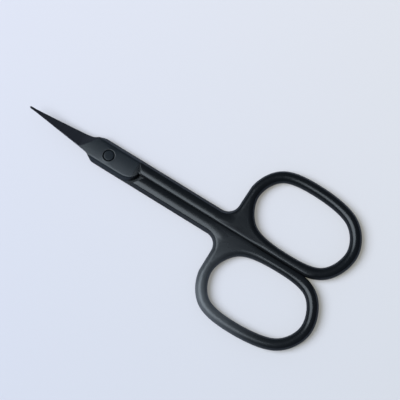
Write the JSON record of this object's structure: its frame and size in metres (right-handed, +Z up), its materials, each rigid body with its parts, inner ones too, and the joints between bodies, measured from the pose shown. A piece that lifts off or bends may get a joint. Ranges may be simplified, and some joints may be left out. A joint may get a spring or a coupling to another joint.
{
  "type": "cuticle scissors",
  "caption": "Small black cuticle scissors with slender upward-curved blades, oval finger rings and a flush pivot screw, closed.",
  "frame": {"origin": "pivot axis, on the plane that the scissors rest on", "axes": "+X towards the tips of the blades, +Y towards the ring of the lower half, +Z up, along the pivot axis towards the screw head"},
  "size_m": [0.0999, 0.0478, 0.0047],
  "materials": {
    "black_coating": "satin black coating over forged steel",
    "screw_coating": "satin black coating over turned steel"
  },
  "bodies": {
    "lower": {"lower_half": "black_coating", "pivot_screw": "screw_coating"},
    "upper": {"upper_half": "black_coating"}
  },
  "joints": [
    {"name": "pivot", "type": "hinge", "parent": "lower", "child": "upper", "pos_m": [0, 0, 0.0018], "axis": [0, 0, 1], "range_deg": [0, 140]}
  ]
}
